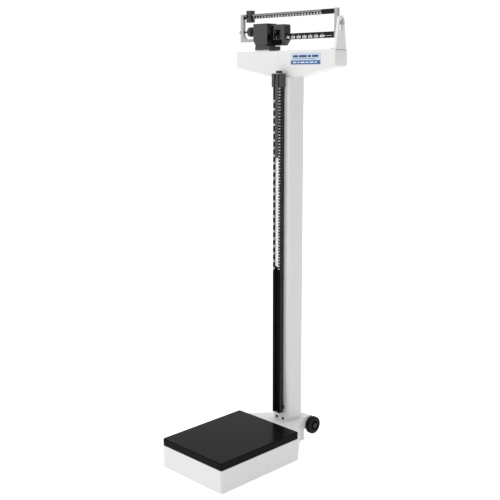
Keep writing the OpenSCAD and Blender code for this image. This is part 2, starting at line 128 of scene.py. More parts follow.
def finish(name, colour, vary=0.08, roughness=0.4, rough_vary=0.06, mottling=14.0, grain=700.0,
           depth=0.03, stretch=(1, 1, 1), cells=False, metallic=0.0, coat=0.0, specular=0.5):
    """A surface whose colour and gloss drift slowly, under a fine relief depth mm deep.

    vary is the share by which the colour drifts, and rough_vary how far the roughness does. mottling and
    grain set how fine the drift and the relief are. cells makes the relief of cells and not of noise.
    """
    material = bpy.data.materials.new(name)
    material.use_nodes = True
    shader = material.node_tree.nodes["Principled BSDF"]
    shader.inputs["Metallic"].default_value = metallic
    shader.inputs["Coat Weight"].default_value = coat
    shader.inputs["Coat Roughness"].default_value = 0.12
    shader.inputs["Specular IOR Level"].default_value = specular
    place = node_of(material, "ShaderNodeTexCoord")
    scaled = node_of(material, "ShaderNodeMapping", Scale=stretch)
    join(material, place.outputs["Object"], scaled.inputs["Vector"])
    drift = node_of(material, "ShaderNodeTexNoise", Scale=mottling, Detail=4.0)
    join(material, scaled.outputs["Vector"], drift.inputs["Vector"])
    tint = node_of(material, "ShaderNodeValToRGB")
    tint.color_ramp.elements[0].position = 0.3
    tint.color_ramp.elements[1].position = 0.7
    tint.color_ramp.elements[0].color = [c * (1 - vary) for c in colour] + [1]
    tint.color_ramp.elements[1].color = [min(1, c * (1 + vary)) for c in colour] + [1]
    join(material, drift.outputs["Fac"], tint.inputs["Fac"])
    join(material, tint.outputs["Color"], shader.inputs["Base Color"])
    gloss = node_of(material, "ShaderNodeMapRange",
                    To_Min=roughness - rough_vary, To_Max=roughness + rough_vary)
    join(material, drift.outputs["Fac"], gloss.inputs["Value"])
    join(material, gloss.outputs["Result"], shader.inputs["Roughness"])
    if cells:
        relief = node_of(material, "ShaderNodeTexVoronoi", Scale=grain)
    else:
        relief = node_of(material, "ShaderNodeTexNoise", Scale=grain, Detail=3.0)
    join(material, scaled.outputs["Vector"], relief.inputs["Vector"])
    bump = node_of(material, "ShaderNodeBump", Strength=0.6, Distance=depth * MM)
    join(material, relief.outputs[0], bump.inputs["Height"])
    join(material, bump.outputs["Normal"], shader.inputs["Normal"])
    return material


WHITE = finish("white_powder_coat", (0.73, 0.73, 0.73), vary=0.015, roughness=0.36, grain=420,
               depth=0.02, coat=0.15)
FACE_WHITE = finish("rod_face_lacquer", (0.84, 0.84, 0.82), vary=0.02, roughness=0.3, grain=900,
                    depth=0.01)
MAT = finish("mat_rubber", (0.007, 0.007, 0.0073), vary=0.1, roughness=0.2, rough_vary=0.03,
             mottling=9, grain=1500, depth=0.008, specular=0.035)
FOOT = finish("foot_rubber", (0.02, 0.02, 0.02), vary=0.15, roughness=0.8, grain=1800, depth=0.08,
              specular=0.2)
TYRE = finish("tyre_rubber", (0.007, 0.007, 0.007), vary=0.2, roughness=0.62, mottling=60,
              grain=1600, depth=0.06, specular=0.15)
HUB = finish("hub_plastic", (0.008, 0.008, 0.0084), vary=0.1, roughness=0.42, grain=1200,
             depth=0.03, specular=0.2)
PLASTIC = finish("moulded_black", (0.032, 0.032, 0.034), vary=0.08, roughness=0.48, mottling=40,
                 grain=1300, depth=0.05)
ENAMEL = finish("beam_enamel", (0.006, 0.006, 0.006), vary=0.12, roughness=0.36, mottling=30,
                grain=500, depth=0.015, specular=0.12)
POISE = finish("poise_enamel", (0.026, 0.026, 0.028), vary=0.15, roughness=0.4, mottling=50,
               grain=650, depth=0.05)
ROD = finish("rod_enamel", (0.015, 0.015, 0.016), vary=0.12, roughness=0.42, mottling=18,
             grain=800, depth=0.03, specular=0.25)
ARM = finish("arm_enamel", (0.040, 0.040, 0.041), vary=0.15, roughness=0.45, mottling=60,
             grain=800, depth=0.04)
ROD_FACE = finish("rod_face_enamel", (0.006, 0.006, 0.0062), vary=0.12, roughness=0.4, mottling=18,
                  grain=800, depth=0.02, specular=0.08)
SILVER = finish("die_cast_silver", (0.40, 0.40, 0.40), vary=0.08, roughness=0.5, mottling=70,
                grain=900, depth=0.06, metallic=0.25)
RACK = finish("rack_silver", (0.215, 0.215, 0.215), vary=0.08, roughness=0.5, mottling=70,
              grain=900, depth=0.05, metallic=0.25)
STEEL = finish("bright_steel", (0.55, 0.56, 0.57), vary=0.1, roughness=0.28, mottling=40,
               grain=900, depth=0.02, stretch=(1, 1, 0.06), metallic=1.0)
ZINC = finish("zinc_plate", (0.52, 0.54, 0.56), vary=0.15, roughness=0.38, mottling=90, grain=300,
              depth=0.02, cells=True, metallic=0.9)
IRON = finish("painted_iron", (0.05, 0.052, 0.056), vary=0.15, roughness=0.5, mottling=50,
              grain=380, depth=0.25, cells=True)
SCREW = finish("black_oxide", (0.03, 0.03, 0.03), vary=0.2, roughness=0.35, mottling=200,
               grain=1500, depth=0.03, metallic=0.6)
# Near-black, the latch's own colour. Laid as thin sheets on the large poise's front and on the rod's right
# face, it is painted shade.
BLACK_AND_PAINTED_SHADE = finish("black_and_painted_shade", (0.002, 0.002, 0.0021), vary=0.15, roughness=0.6, mottling=50,
                    grain=650, depth=0.03, specular=0.03)
INK_WHITE = finish("white_ink", (0.88, 0.88, 0.87), vary=0.04, roughness=0.5, mottling=300,
                   grain=2500, depth=0.01)
INK_BLACK = finish("black_ink", (0.02, 0.02, 0.02), vary=0.1, roughness=0.5, mottling=300,
                   grain=2500, depth=0.01)
LABEL = finish("label_print", (0.50, 0.62, 0.76), vary=0.02, roughness=0.32, mottling=60,
               grain=1500, depth=0.01, coat=0.3)
BLUE = finish("label_blue", (0.012, 0.10, 0.30), vary=0.06, roughness=0.32, mottling=60,
              grain=1500, depth=0.01, coat=0.3)
NAVY = finish("label_navy", (0.02, 0.04, 0.12), vary=0.08, roughness=0.35, mottling=90, grain=1500,
              depth=0.01)

# ---------------------------------------------------------------- making pieces

def piece(name, shape, body, slot, material, *replaced):
    """Turns a bmesh into a finished piece: even normals, one material, riding on a CAD body."""
    bmesh.ops.recalc_face_normals(shape, faces=shape.faces)
    mesh = bpy.data.meshes.new(name)
    shape.to_mesh(mesh)
    shape.free()
    mesh.polygons.foreach_set("use_smooth", [True] * len(mesh.polygons))
    mesh.set_sharp_from_angle(angle=SMOOTH_BELOW)
    mesh.materials.append(material)
    obj = bpy.data.objects.new(name, mesh)
    bpy.context.scene.collection.objects.link(obj)
    even = obj.modifiers.new("even_normals", "WEIGHTED_NORMAL")
    even.keep_sharp = True
    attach(obj, body)
    if replaced:
        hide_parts(*replaced)


def body_of(node):
    """The name of the body that a CAD node rides on."""
    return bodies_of(NODES[node])[0]


def welded(node):
    """The CAD node's own surface, with its points joined."""
    shape = bmesh.new()
    shape.from_mesh(NODES[node].data)
    bmesh.ops.remove_doubles(shape, verts=shape.verts, dist=WELD)
    return shape


def cad_shape(node):
    """The CAD node's own surface, with its flat faces made whole again."""
    shape = welded(node)
    bmesh.ops.dissolve_limit(shape, angle_limit=math.radians(0.4), verts=shape.verts, edges=shape.edges)
    return shape


def round_edges(shape, width, chosen=None, segments=3):
    """Rounds the sharp edges that chosen picks, or all of them, width in mm."""
    edges = [e for e in shape.edges
             if len(e.link_faces) == 2 and e.calc_face_angle(0) > ROUND_ABOVE
             and (chosen is None or chosen(e))]
    bmesh.ops.bevel(shape, geom=edges, offset=width * MM, offset_type="OFFSET", segments=segments,
                    profile=0.5, affect="EDGES", clamp_overlap=True)
    return shape


def rounded_node(node, width, slot, material, chosen=None):
    """Shows a CAD node with its edges rounded."""
    shape = round_edges(cad_shape(node), width, chosen)
    piece(node + "_finished", shape, body_of(node), slot, material, node)


def loft(shape, rings):
    """Joins rings of points, each to the next, and closes both ends."""
    rows = [[shape.verts.new(p) for p in ring] for ring in rings]
    count = len(rows[0])
    for low, high in zip(rows, rows[1:]):
        for i in range(count):
            k = (i + 1) % count
            shape.faces.new((low[i], low[k], high[k], high[i]))
    shape.faces.new(rows[0])
    shape.faces.new(reversed(rows[-1]))


def around(axis, angle):
    """The direction square to an axis, at an angle about it."""
    across = Vector((axis.z, axis.x, axis.y))
    return across * math.cos(angle) + axis.cross(across) * math.sin(angle)


def turned(shape, centre, axis, profile, steps):
    """A closed shape turned about an axis. profile gives (distance along the axis, radius) in mm."""
    loft(shape, [[centre + axis * along * MM + around(axis, math.tau * i / steps) * r * MM
                  for i in range(steps)] for along, r in profile])


def turned_ring(shape, centre, axis, profile, steps, reach=None):
    """A closed profile turned about an axis it doesn't touch, so that the shape has a hole.

    reach, where it is given, makes the radius out of the angle and the profile's radius.
    """
    rows = []
    for i in range(steps):
        angle = math.tau * i / steps
        way = around(axis, angle)
        rows.append([shape.verts.new(centre + (axis * along + way * (reach(angle, r) if reach else r)) * MM)
                     for along, r in profile])
    for near, far in zip(rows, rows[1:] + rows[:1]):
        for k in range(len(profile)):
            n = (k + 1) % len(profile)
            shape.faces.new((near[k], near[n], far[n], far[k]))


def front_plane(x, z, y):
    """A point from mm along X and Z, at a depth in metres."""
    return Vector((x * MM, y, z * MM))


def plate(shape, outline, near, far):
    """An outline in mm along X and Z, made solid from one depth to another."""
    loft(shape, [[front_plane(x, z, y) for x, z in outline] for y in (near, far)])


# ---------------------------------------------------------------- printing

DIGIT_WEIGHT = 0.03      # how far a digit's outline is pushed out
DIGIT_STEP = 0.74        # distance between digits, in digit heights
DIGIT_HALF = 0.5         # half a digit's depth, before it is thinned to INK


def digit_shapes():
    """The ten digits, one unit high and centred, each as its points and faces."""
    shapes = {}
    for sign in "0123456789":
        curve = bpy.data.curves.new("digit", "FONT")
        curve.body = sign
        curve.extrude = DIGIT_HALF
        curve.offset = DIGIT_WEIGHT
        curve.resolution_u = 3
        obj = bpy.data.objects.new("digit", curve)
        bpy.context.scene.collection.objects.link(obj)
        bpy.context.view_layer.update()
        mesh = obj.evaluated_get(bpy.context.evaluated_depsgraph_get()).to_mesh()
        points = [v.co.copy() for v in mesh.vertices]
        faces = [tuple(p.vertices) for p in mesh.polygons]
        low, high = box_of(points)
        tall = high.y - low.y
        middle = (low + high) / 2
        flat = [Vector(((p.x - middle.x) / tall, (p.y - middle.y) / tall, p.z)) for p in points]
        shapes[sign] = (flat, faces)
        bpy.data.objects.remove(obj)
        bpy.data.curves.remove(curve)
    return shapes


def box_of(points):
    """The least and greatest corner of some points."""
    return (Vector((min(p[i] for p in points) for i in range(3))),
            Vector((max(p[i] for p in points) for i in range(3))))


DIGITS = digit_shapes()


def write_number(shape, text, at, height, squeeze=1.0):
    """Prints a number centred at a point, its digits height mm tall."""
    for place, sign in enumerate(text):
        points, faces = DIGITS[sign]
        shift = (place - (len(text) - 1) / 2) * DIGIT_STEP
        made = [shape.verts.new(at + X * (p.x + shift) * height * squeeze * MM + Z * p.y * height * MM
                                + OUT * (p.z + DIGIT_HALF) * INK) for p in points]
        for face in faces:
            shape.faces.new([made[i] for i in face])


def mark(shape, at, wide, tall, thick=INK):
    """Prints a bar centred at a point, wide by tall mm."""
    corners = [(-0.5, -0.5), (0.5, -0.5), (0.5, 0.5), (-0.5, 0.5)]
    loft(shape, [[at + (X * wide * u + Z * tall * v) * MM + OUT * lift for u, v in corners]
                 for lift in (0, thick)])


# ---------------------------------------------------------------- base, mat and wheels

def base_pieces():
    """The white sheet metal of the base and the column."""
    rounded_node("base_shell", 1.4, "white_paint", WHITE)
    rounded_node("wheel_bracket", 0.8, "white_paint", WHITE)
    rounded_node("column_tube", 0.5, "white_paint", WHITE)


CORNER_STEPS = 8


def rounded_ring(low, high, inset, radius, z):
    """Points around a rectangle with round corners, pulled in by inset mm."""
    r = (radius - inset) * MM
    x0, x1 = low.x + inset * MM + r, high.x - inset * MM - r
    y0, y1 = low.y + inset * MM + r, high.y - inset * MM - r
    ring = []
    for x, y, start in ((x1, y1, 0), (x0, y1, 90), (x0, y0, 180), (x1, y0, 270)):
        for i in range(CORNER_STEPS + 1):
            a = math.radians(start + 90 * i / CORNER_STEPS)
            ring.append(Vector((x + r * math.cos(a), y + r * math.sin(a), z)))
    return ring


def platform_mat():
    """The mat: rolled top edge, straight sides, and the pocket that takes the steel plate."""
    low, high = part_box("platform_mat")
    plate_low, plate_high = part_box("platform_plate")
    corner = 6
    roll = 3.5
    room = 0.2
    side = [(1.0, low.z), (0.2, low.z + 0.4 * MM), (0, low.z + 1.2 * MM)]
    edge = [(roll * (1 - math.cos(math.radians(a))), high.z - roll * (1 - math.sin(math.radians(a))) * MM)
            for a in range(0, 91, 15)]
    pocket = (plate_low.x - low.x) / MM - room
    roof = plate_high.z + room * MM
    path = [(pocket, roof), (pocket, low.z)] + side + edge
    shape = bmesh.new()
    loft(shape, [rounded_ring(low, high, inset, corner, z) for inset, z in path])
    piece("mat_finished", shape, "platform", "mat_rubber", MAT, "platform_mat")


WHEEL_STEPS = 72
TYRE_DEEP = 9            # from the tread down to the hub, mm
SHOULDER = 4             # height of the tyre's round shoulders, mm


def wheel(side):
    """One transport wheel: a tyre with a grooved tread, and a ribbed hub."""
    low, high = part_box(side + "_tyre")
    centre = (low + high) / 2
    out = X if centre.x > 0 else -X
    radius = (high.z - low.z) / 2 / MM
    half = (high.x - low.x) / 2 / MM
    inner = radius - TYRE_DEEP
    bend = [(3.6 * (1 - math.cos(math.radians(a))), radius - SHOULDER + 3.4 * math.sin(math.radians(a)))
            for a in (20, 40, 60, 80)]
    groove = [(-1.6, radius), (-0.9, radius - 1.1), (0.9, radius - 1.1), (1.6, radius)]
    tread = [(-half, inner), (-half, radius - SHOULDER)]
    tread += [(-half + along, r) for along, r in bend]
    tread += groove
    tread += [(half - along, r) for along, r in reversed(bend)]
    tread += [(half, radius - SHOULDER), (half, inner)]
    shape = bmesh.new()
    turned_ring(shape, centre, out, tread, WHEEL_STEPS)
    piece(side + "_tyre_finished", shape, body_of(side + "_tyre"), "tyre_rubber", TYRE, side + "_tyre")
    hub(side, centre, out, half, inner)


def hub(side, centre, out, half, inner):
    """The hub: rim, web, boss, and six ribs on each face."""
    bore = 5.06
    boss = 10.6
    web = 2.2
    face = half - 1
    rim = inner - 4
    section = [(-half, bore), (-half, 9.2), (-half + 0.8, 10), (-web, boss), (-web, rim - 0.4),
               (-face + 0.6, rim), (-face, rim + 0.6), (-face, inner), (face, inner), (face, rim + 0.6),
               (face - 0.6, rim), (web, rim - 0.4), (web, boss), (half - 0.8, 10), (half, 9.2), (half, bore)]
    shape = bmesh.new()
    turned_ring(shape, centre, out, section, WHEEL_STEPS)
    ribs = 6
    top = face - 1.2
    for k in range(ribs):
        way = around(out, math.tau * k / ribs)
        aside = out.cross(way)
        for lift in (-1, 1):
            loft(shape, [[centre + (way * reach + aside * w + out * lift * d) * MM
                          for w, d in ((-1.1, 2), (1.1, 2), (0.7, top), (-0.7, top))]
                         for reach in (9.5, rim + 0.3)])
    piece(side + "_hub_finished", shape, body_of(side + "_hub"), "hub_plastic", HUB, side + "_hub")


# ---------------------------------------------------------------- screws

SCREW_HEAD = 2.2         # height of every screw's head, mm


def screw(shape, low, high, out, radius, shank):
    """A screw that fills a box: a domed head with a six-sided socket at the out end, and its shank."""
    long = abs((high - low).dot(out))
    top = (low + high) / 2 + out * long / 2
    head = SCREW_HEAD * MM
    under = top - out * head
    flat = radius * 0.48
    sixth = math.tau / 6

    def ring(reach, lift):
        """A round ring, or a six-sided one inside the socket."""
        steps = 24
        points = []
        for i in range(steps):
            a = math.tau * i / steps
            r = reach if reach > flat else reach / math.cos((a + sixth / 2) % sixth - sixth / 2)
            points.append(under + around(out, a) * r * MM + out * lift * head)
        return points

    loft(shape, [ring(radius, 0), ring(radius, 0.45), ring(radius * 0.92, 0.78), ring(radius * 0.72, 0.96),
                 ring(radius * 0.62, 1.0), ring(flat, 0.98), ring(flat * 0.96, 0.3)])
    turned(shape, under, out, [(0, shank), (-(long - head) / MM, shank)], 20)


def screw_group(node, slot, material, out):
    """Shows each fastener of a group in its CAD solid's place, with its head on the out end."""
    shape = bmesh.new()
    for low, high in solid_boxes(node):
        size = high - low
        radius = max(size.dot(v) for v in (X, Y, Z) if abs(v.dot(out)) < 0.5) / 2
        screw(shape, low, high, out, radius / MM, radius / MM * 0.5)
    piece(node + "_finished", shape, body_of(node), slot, material, node)


def column_screws():
    """Two black screws on the column's front, and the two hidden ones inside it."""
    shape = bmesh.new()
    shank = 2.4
    for low, high in solid_boxes("column_screws"):
        size = high - low
        out = -Y if size.y > size.z else Z
        screw(shape, low, high, out, size.x / 2 / MM, shank)
    piece("column_screws_finished", shape, "stand", "black_screws", SCREW, "column_screws")


def all_screws():
    """The screws of the head's rear cover, the post, the fulcrum's cover and the column."""
    screw_group("head_cover_screws", "steel", STEEL, Y)
    screw_group("trig_screws", "steel", STEEL, Z)
    screw_group("fulcrum_cover_screws", "steel", STEEL, Z)
    column_screws()


def solid_boxes(node):
    """The box of each separate solid of a CAD node."""
    source = welded(node)
    left = set(source.verts)
    boxes = []
    while left:
        todo = [left.pop()]
        points = []
        while todo:
            v = todo.pop()
            points.append(v.co)
            near = [e.other_vert(v) for e in v.link_edges]
            fresh = [n for n in near if n in left]
            left.difference_update(fresh)
            todo.extend(fresh)
        boxes.append(box_of(points))
    source.free()
    return sorted(boxes, key=lambda b: tuple(round(c, 5) for c in b[0]))


# ---------------------------------------------------------------- head

def head_pieces():
    """The head's sheet metal, the post, the fulcrum's foot and cover, and the label."""
    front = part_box("head_housing")[0].y
    rounded_node("head_housing", 2.2, "white_paint", WHITE,
                 lambda e: all(v.co.y < front + 1 * MM for v in e.verts))
    rounded_node("head_rear_cover", 0.7, "white_paint", WHITE)
    rounded_node("trig_post", 1.2, "white_paint", WHITE)
    rounded_node("fulcrum_base", 1.6, "black_plastic", PLASTIC)
    rounded_node("fulcrum_cover", 1.1, "black_plastic", PLASTIC)
    label()


def row_of_bars(shape, left, y, z, start, lengths, gap, tall):
    """Prints bars in a row, start mm to the right of left, with a gap after each."""
    at = start
    for length in lengths:
        mark(shape, Vector((left + (at + length / 2) * MM, y, z)), length, tall)
        at += length + gap


def label():
    """A two-tone label with plain bars in place of any lettering."""
    rounded_node("label_plate", 0.3, "label_face", LABEL)
    low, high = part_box("label_plate")
    wide = (high.x - low.x) / MM
    tall = (high.z - low.z) / MM
    border = 0.6
    band = 0.34 * tall
    band_middle = low.z + (band / 2 + border) * MM
    shape = bmesh.new()
    mark(shape, Vector(((low.x + high.x) / 2, low.y, band_middle)), wide - 2 * border, band)
    piece("label_band", shape, "stand", "label_face", BLUE)
    shape = bmesh.new()
    row_of_bars(shape, low.x, low.y, high.z - 10 * MM, 9, (22, 34, 14, 26), 4, 7)
    row_of_bars(shape, low.x, low.y, high.z - 18 * MM, 9, (96,), 0, 1.4)
    piece("label_bars", shape, "stand", "label_face", NAVY)
    shape = bmesh.new()
    row_of_bars(shape, low.x, low.y - INK, band_middle, 10, (14, 8, 18, 11, 16, 9), 5, 3.2)
    piece("label_band_blocks", shape, "stand", "label_face", INK_WHITE)


# ---------------------------------------------------------------- beams and poises

UPPER_PITCH = 12.8       # mm between the upper beam's numerals
UPPER_UNITS = 2          # from one numeral to the next
UPPER_NUMERALS = 26
TICKS_PER_NUMERAL = 8
RACK_DEEP = 6            # height of the silver rack, mm
LOWER_PITCH = 24.7       # mm between the lower beam's notches
LOWER_UNITS = 50         # from one notch to the next
LOWER_NOTCHES = 9
LOWER_ZERO = -54         # mm along X of the lower beam's zero
NOTCH_SHIFT = 11         # mm from a numeral to its notch
NOTCH_HALF = 2.2
NOTCH_DEEP = 2.6


def upper_beam():
    """Black scale bar with a notched silver rack along its top, and a plain end."""
    low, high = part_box("upper_bar")
    bottom, top = low.z / MM, high.z / MM
    left, right = low.x / MM, high.x / MM
    zero = left + 25
    rack_end = zero + (UPPER_NUMERALS - 1) * UPPER_PITCH + 3
    rack_low = top - RACK_DEEP
    shape = bmesh.new()
    plate(shape, [(left, bottom), (right, bottom), (right, top), (rack_end, top), (rack_end, rack_low),
                  (left, rack_low)], low.y, high.y)
    piece("upper_scale", round_edges(shape, 0.4, segments=2), "beam", "beam_black", ENAMEL, "upper_bar")
    step = UPPER_PITCH / TICKS_PER_NUMERAL
    tooth = 0.35
    gap = 0.05
    teeth = [(left, rack_low), (rack_end - gap, rack_low), (rack_end - gap, top)]
    for k in range(int((rack_end - 0.3 - left) / step), 0, -1):
        x = left + k * step
        teeth += [(x, top), (x - tooth, top - 1.1), (x - 2 * tooth, top)]
    teeth.append((left, top))
    shape = bmesh.new()
    plate(shape, teeth, low.y, high.y)
    piece("upper_rack", shape, "beam", "silver_cast", RACK)
    shape = bmesh.new()
    for k in range(UPPER_NUMERALS):
        at = front_plane(zero + k * UPPER_PITCH, bottom + 3.5, low.y)
        write_number(shape, str(UPPER_UNITS * k), at, 5.7, squeeze=0.9)
    for k in range((UPPER_NUMERALS - 1) * TICKS_PER_NUMERAL + 1):
        drop, tall = (0.9, 1.5) if k % 4 == 0 else (0.6, 0.9)
        mark(shape, front_plane(zero + k * step, rack_low - drop, low.y), 0.3, tall)
    piece("upper_print", shape, "beam", "beam_black", INK_WHITE)


def lower_beam():
    """Black bar with a deep notch at every step of its scale, numerals, ticks and three end bars."""
    low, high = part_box("lower_bar")
    bottom, top = low.z / MM, high.z / MM
    left, right = low.x / MM, high.x / MM
    outline = [(left, bottom), (right, bottom), (right, top)]
    for k in reversed(range(LOWER_NOTCHES)):
        x = LOWER_ZERO + k * LOWER_PITCH + NOTCH_SHIFT
        outline += [(x + NOTCH_HALF, top), (x, top - NOTCH_DEEP), (x - NOTCH_HALF, top)]
    outline.append((left, top))
    shape = bmesh.new()
    plate(shape, outline, low.y, high.y)
    piece("lower_scale", round_edges(shape, 0.35, segments=2), "beam", "beam_black", ENAMEL, "lower_bar")
    shape = bmesh.new()
    for k in range(LOWER_NOTCHES):
        x = LOWER_ZERO + k * LOWER_PITCH
        write_number(shape, str(LOWER_UNITS * k), front_plane(x, bottom + 6.4, low.y), 8.5)
        mark(shape, front_plane(x, bottom + 13.2, low.y), 0.9, 3.2)
    for k in range(3):
        mark(shape, front_plane(right - 36 + k * 11, bottom + 6.5, low.y), 7, 1.3)
    piece("lower_print", shape, "beam", "beam_black", INK_WHITE)


POISE_WINDOW_LOW = 1394      # heights above the floor, mm
POISE_WINDOW_HIGH = 1424
POISE_BEND = 1392            # where the upper sheet of painted shade ends and the sloping foot begins
POISE_INDEX_LOW = 1413
GRIP_LOW, GRIP_HIGH = 1414, 1436
GRIP_RIBS, GRIP_PITCH, GRIP_WIDE = 6, 4.2, 1.9
SMALL_WINDOW = (-186, -174, 1467, 1478)    # left, right, bottom, top, mm
SUNK = 0.2                   # how deep a thin overlay starts inside what it covers, mm
RAISED = 0.3                 # how far it stands out, mm


def large_poise():
    """The large poise: near-black sheets of painted shade on the left of its front and on its foot, a framed
    window with a dark plate of painted shade and an index mark, and grip ribs on its right.
    """
    rounded_node("lower_poise", 1.3, "poise_black", POISE)
    rounded_node("lower_poise_latch", 0.6, "poise_black", BLACK_AND_PAINTED_SHADE)
    low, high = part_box("lower_poise")
    front, side = low.y, high.x
    left, right = low.x / MM, high.x / MM
    rim = 1.4
    window = (left + 18, right - 19, POISE_WINDOW_LOW, POISE_WINDOW_HIGH)
    shape = bmesh.new()
    frame_bars(shape, window, rim, front, 0.8)
    piece("large_poise_frame", round_edges(shape, 0.3, segments=2), "large_poise", "poise_black", POISE)
    shape = bmesh.new()
    # Painted shade: near-black sheets laid 0.3 mm proud of the front, on its left and on its foot, and a
    # plate inside the window, stand in for shadow and dark reflection there.
    shade_panel = [(left + 1.5, POISE_BEND), (window[0] - rim, POISE_BEND), (window[0] - rim, 1438),
              (left + 1.5, 1438)]
    foot = [(left + 2, 1388), (left + 7, 1378), (left + 14, 1375), (right - 15, 1375),
            (right - 15, POISE_BEND), (left + 2, POISE_BEND)]
    for outline in (shade_panel, foot):
        plate(shape, outline, front - RAISED * MM, front + SUNK * MM)
    index_y = front + 6 * MM
    plate(shape, [(window[0], POISE_INDEX_LOW), (window[1], POISE_INDEX_LOW),
                  (window[1], POISE_WINDOW_HIGH), (window[0], POISE_WINDOW_HIGH)], index_y, index_y + 1 * MM)
    piece("large_poise_painted_shade", shape, "large_poise", "poise_black", BLACK_AND_PAINTED_SHADE)
    shape = bmesh.new()
    mark(shape, front_plane(LOWER_ZERO, 1417, index_y), 1.4, 5)
    piece("large_poise_index", shape, "large_poise", "poise_black", INK_WHITE)
    shape = bmesh.new()
    for k in range(GRIP_RIBS):
        near = front + (3.4 + k * GRIP_PITCH) * MM
        far = near + GRIP_WIDE * MM
        rib = [(near, GRIP_LOW), (far, GRIP_LOW), (far, GRIP_HIGH), (near, GRIP_HIGH)]
        loft(shape, [[Vector((x, y, z * MM)) for y, z in rib] for x in (side - SUNK * MM, side + 0.9 * MM)])
    piece("large_poise_grip", round_edges(shape, 0.3, segments=2), "large_poise", "poise_black", POISE)


def frame_bars(shape, window, wide, front, proud):
    """A raised frame around a window given as left, right, bottom, top in mm."""
    x0, x1, z0, z1 = window
    for a, b, c, d in ((x0 - wide, x0, z0 - wide, z1 + wide), (x1, x1 + wide, z0 - wide, z1 + wide),
                       (x0, x1, z0 - wide, z0), (x0, x1, z1, z1 + wide)):
        plate(shape, [(a, c), (b, c), (b, d), (a, d)], front - proud * MM, front + SUNK * MM)


def small_poise():
    """The small poise with a framed window."""
    rounded_node("upper_poise", 0.9, "poise_black", POISE)
    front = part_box("upper_poise")[0].y
    shape = bmesh.new()
    frame_bars(shape, SMALL_WINDOW, 1.0, front, 0.5)
    piece("small_poise_frame", round_edges(shape, 0.2, segments=2), "small_poise", "poise_black", POISE)


def round_part(node):
    """Of a round part that lies along X: its left end's middle, then its radius and length in mm."""
    low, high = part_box(node)
    left_end = Vector((low.x, (low.y + high.y) / 2, (low.z + high.z) / 2))
    return left_end, (high.z - low.z) / 2 / MM, (high.x - low.x) / MM


def balance_knob():
    """The knurled balance weight: chamfered end, smooth end band and a fine straight knurl."""
    left_end, radius, long = round_part("balance_weight")
    bore = 3.06
    knurls = 36
    knurl_deep = 0.35
    neck = radius - 0.95

    def knurled(angle, r):
        """Only the widest rings carry the knurl."""
        return r - knurl_deep * (1 + math.cos(angle * knurls)) / 2 if r > radius - 0.9 else r

    profile = [(0.2, bore), (0, 5), (0, 8.4), (0.5, 9.2), (7.4, neck), (8.1, radius), (long - 3.2, radius),
               (long - 3, neck), (long - 0.5, 13.3), (long, 12.6), (long, bore)]
    shape = bmesh.new()
    turned_ring(shape, left_end, X, profile, knurls * 8, knurled)
    piece("balance_knob", shape, "trim_weight", "poise_black", POISE, "balance_weight")


def balance_screw():
    """The threaded spindle that carries the balance weight."""
    left_end, radius, long = round_part("balance_screw")
    pitch = 1.25
    thread_deep = 0.45
    steps = 24
    rings_per_turn = 5
    count = int(long / pitch * rings_per_turn)
    rings = []
    for k in range(count + 1):
        along = long * k / count
        ring = []
        for i in range(steps):
            turn = i / steps
            wave = abs(2 * ((along / pitch + turn) % 1) - 1)
            reach = radius - thread_deep * wave
            ring.append(left_end + (X * along + around(X, math.tau * turn) * reach) * MM)
        rings.append(ring)
    shape = bmesh.new()
    loft(shape, rings)
    piece("balance_spindle", shape, "beam", "black_screws", SCREW, "balance_screw")


def beam_frame():
    """The silver uprights at both ends of the beams, and the pointer."""
    rounded_node("left_upright", 1.2, "silver_cast", SILVER)
    rounded_node("right_upright", 1.2, "silver_cast", SILVER)
    rounded_node("beam_pointer", 1.0, "silver_cast", SILVER)


# ---------------------------------------------------------------- height rod

INCH = 25.4
CENTIMETRE = 10.0
FIRST_INCH = 25               # the lowest numeral on each plate
FIRST_CENTIMETRE = 64
PRINT_BELOW_SLEEVE = 35       # how far under the guide the inches end, mm
TICKS_UNDER = 6               # how far under its numeral an inch's ticks begin, mm
HIGH_BRACKETS = 400           # the brackets above this height stay behind the rod, mm
BRACKET_NARROWING = 0.78


def rod_graduations():
    """White inch numerals on the left plate, centimetre numerals on the right one, and a near-black film of
    painted shade on that plate and on the sleeve.
    """
    low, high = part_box("rod_scale_plates")
    sleeve_low, sleeve_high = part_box("rod_sleeve")
    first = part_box("inner_rod")[0].z / MM
    end = sleeve_low.z / MM
    inches, centimetres = low.x + 4.3 * MM, high.x - 4.1 * MM
    shape = bmesh.new()
    k = 0
    while first + k * INCH < end - PRINT_BELOW_SLEEVE:
        z = first + k * INCH
        write_number(shape, str(FIRST_INCH + k), Vector((inches, low.y, z * MM)), 8.4, squeeze=0.68)
        mark(shape, Vector((low.x + 1.6 * MM, low.y, (z - TICKS_UNDER) * MM)), 2.8, 0.8)
        for quarter in range(1, 4):
            tick = z + quarter * INCH / 4 - TICKS_UNDER
            mark(shape, Vector((low.x + 1.0 * MM, low.y, tick * MM)), 1.4, 0.6)
        k += 1
    k = 0
    while first + k * CENTIMETRE < end - 4:
        z = first + k * CENTIMETRE
        text = str(FIRST_CENTIMETRE + k)
        squeeze = 1.45 if len(text) < 3 else 0.98
        write_number(shape, text, Vector((centimetres, low.y, z * MM)), 4.2, squeeze=squeeze)
        mark(shape, Vector((high.x - 0.9 * MM, low.y, z * MM)), 1.6, 0.8)
        k += 1
    piece("rod_print", shape, "stand", "rod_black", INK_WHITE)
    # Painted shade: a near-black film on the right plate and the sleeve stands in for the shadow of the
    # groove beside the centimetre marks.
    shape = bmesh.new()
    for y, z0, z1, wide, margin in ((low.y, low.z, high.z, 7.2, 1),
                                    (sleeve_low.y, sleeve_low.z, sleeve_high.z, 5.0, 2.4)):
        mark(shape, Vector((centimetres, y, (z0 + z1) / 2)), wide, (z1 - z0) / MM - margin, thick=INK / 4)
    piece("rod_right_lip_painted_shade", shape, "stand", "rod_black", BLACK_AND_PAINTED_SHADE)


